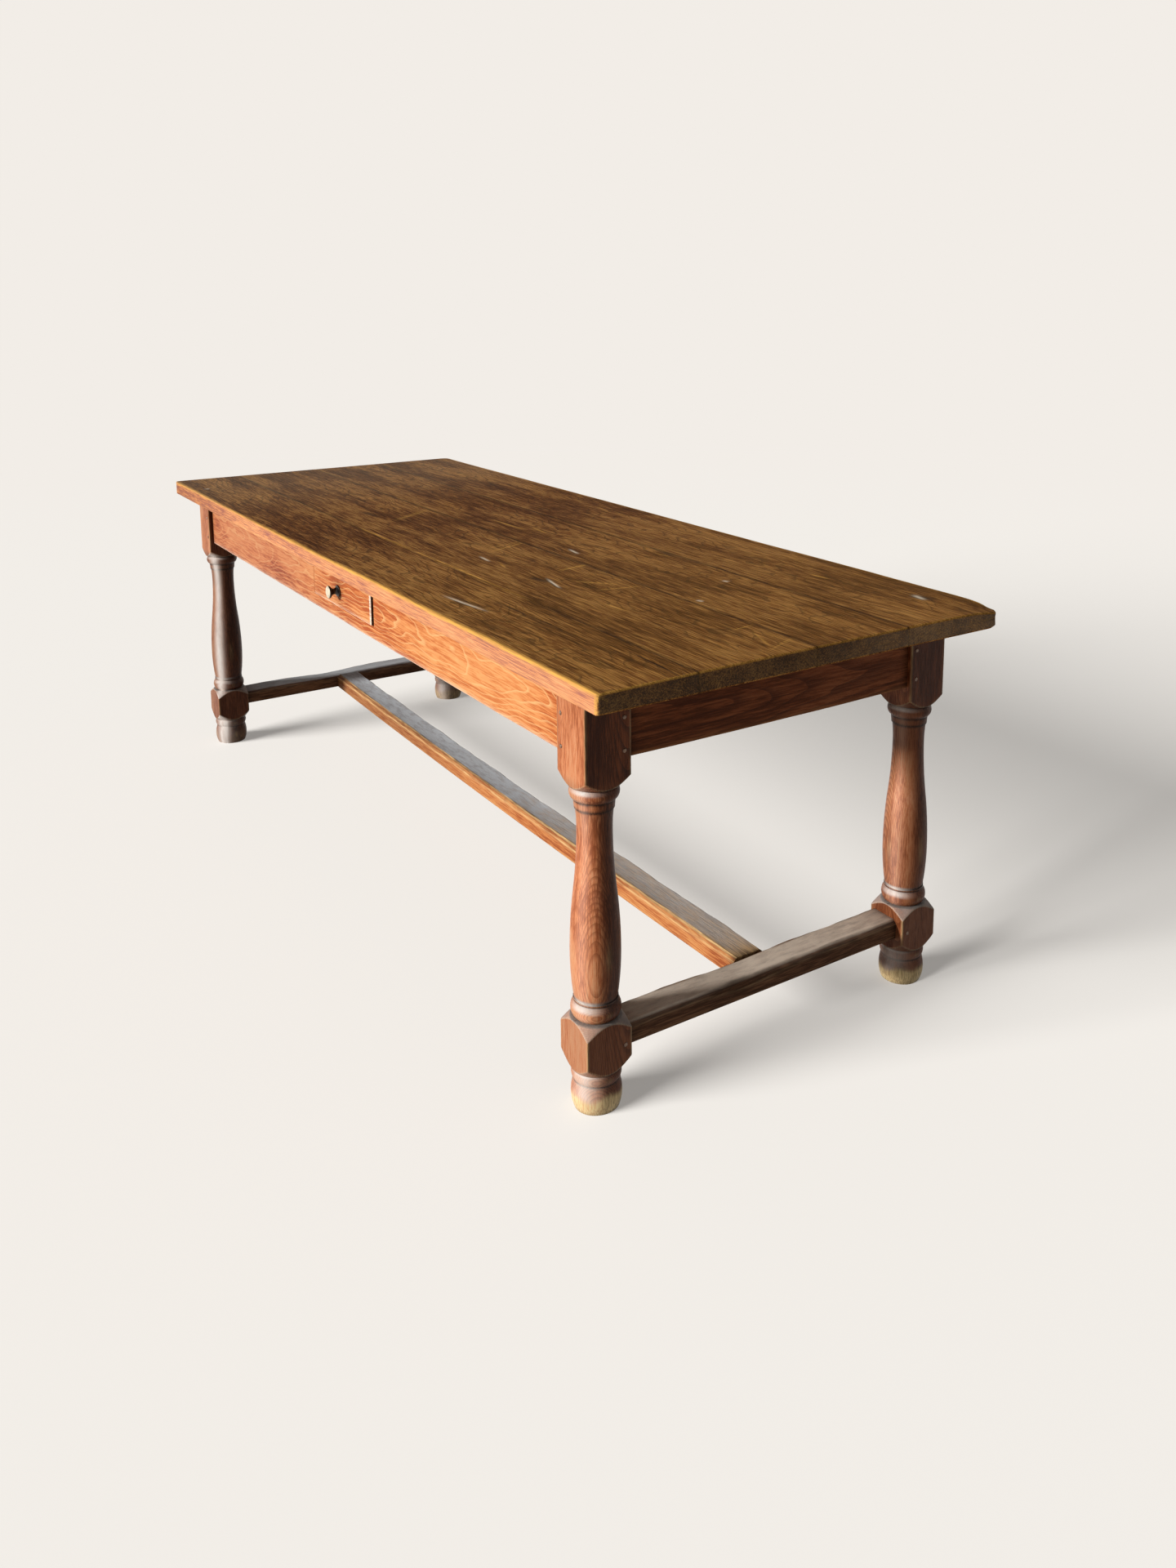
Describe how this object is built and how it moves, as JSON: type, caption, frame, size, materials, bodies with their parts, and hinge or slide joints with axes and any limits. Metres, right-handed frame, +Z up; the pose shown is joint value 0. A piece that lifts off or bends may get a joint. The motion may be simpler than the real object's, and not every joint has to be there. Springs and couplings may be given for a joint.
{
  "type": "refectory table",
  "caption": "Long oak refectory table with a boarded top, turned vase legs, pegged aprons, an H of low stretchers and a sliding drawer with a turned knob.",
  "frame": {"origin": "on the floor, under the middle of the table top", "axes": "+X along the table's length, to the right as seen from the drawer's side; -Y out of the drawer's side; +Z up"},
  "size_m": [2.33, 0.864, 0.76],
  "materials": {
    "top_oak": "satin, worn",
    "leg_oak": "satin, polished by use",
    "apron_oak": "satin",
    "stretcher_oak": "worn and dusty",
    "plain_oak": "bare",
    "peg_oak": "satin",
    "black_knob": "black, worn pale on its face",
    "screw_steel": "dull"
  },
  "bodies": {
    "table": {"top_board_front": "top_oak", "top_board_middle_front": "top_oak", "top_board_middle_back": "top_oak", "top_board_back": "top_oak", "leg_front_left": "leg_oak", "leg_front_right": "leg_oak", "leg_back_left": "leg_oak", "leg_back_right": "leg_oak", "front_apron": "apron_oak", "back_apron": "apron_oak", "left_end_apron": "apron_oak", "right_end_apron": "apron_oak", "left_end_stretcher": "stretcher_oak", "right_end_stretcher": "stretcher_oak", "centre_stretcher": "stretcher_oak", "left_drawer_runner": "plain_oak", "right_drawer_runner": "plain_oak", "left_drawer_guide": "plain_oak", "right_drawer_guide": "plain_oak", "drawer_stops": "plain_oak", "left_top_bearer": "plain_oak", "right_top_bearer": "plain_oak", "bearer_screws": "screw_steel", "apron_pegs": "peg_oak", "stretcher_pegs": "peg_oak"},
    "drawer": {"drawer_front": "apron_oak", "drawer_left_side": "plain_oak", "drawer_right_side": "plain_oak", "drawer_back": "plain_oak", "drawer_bottom": "plain_oak", "drawer_knob": "black_knob"}
  },
  "joints": [
    {"name": "drawer_slide", "type": "slide", "parent": "table", "child": "drawer", "axis": [0, -1, 0], "range_m": [0, 0.3]}
  ]
}
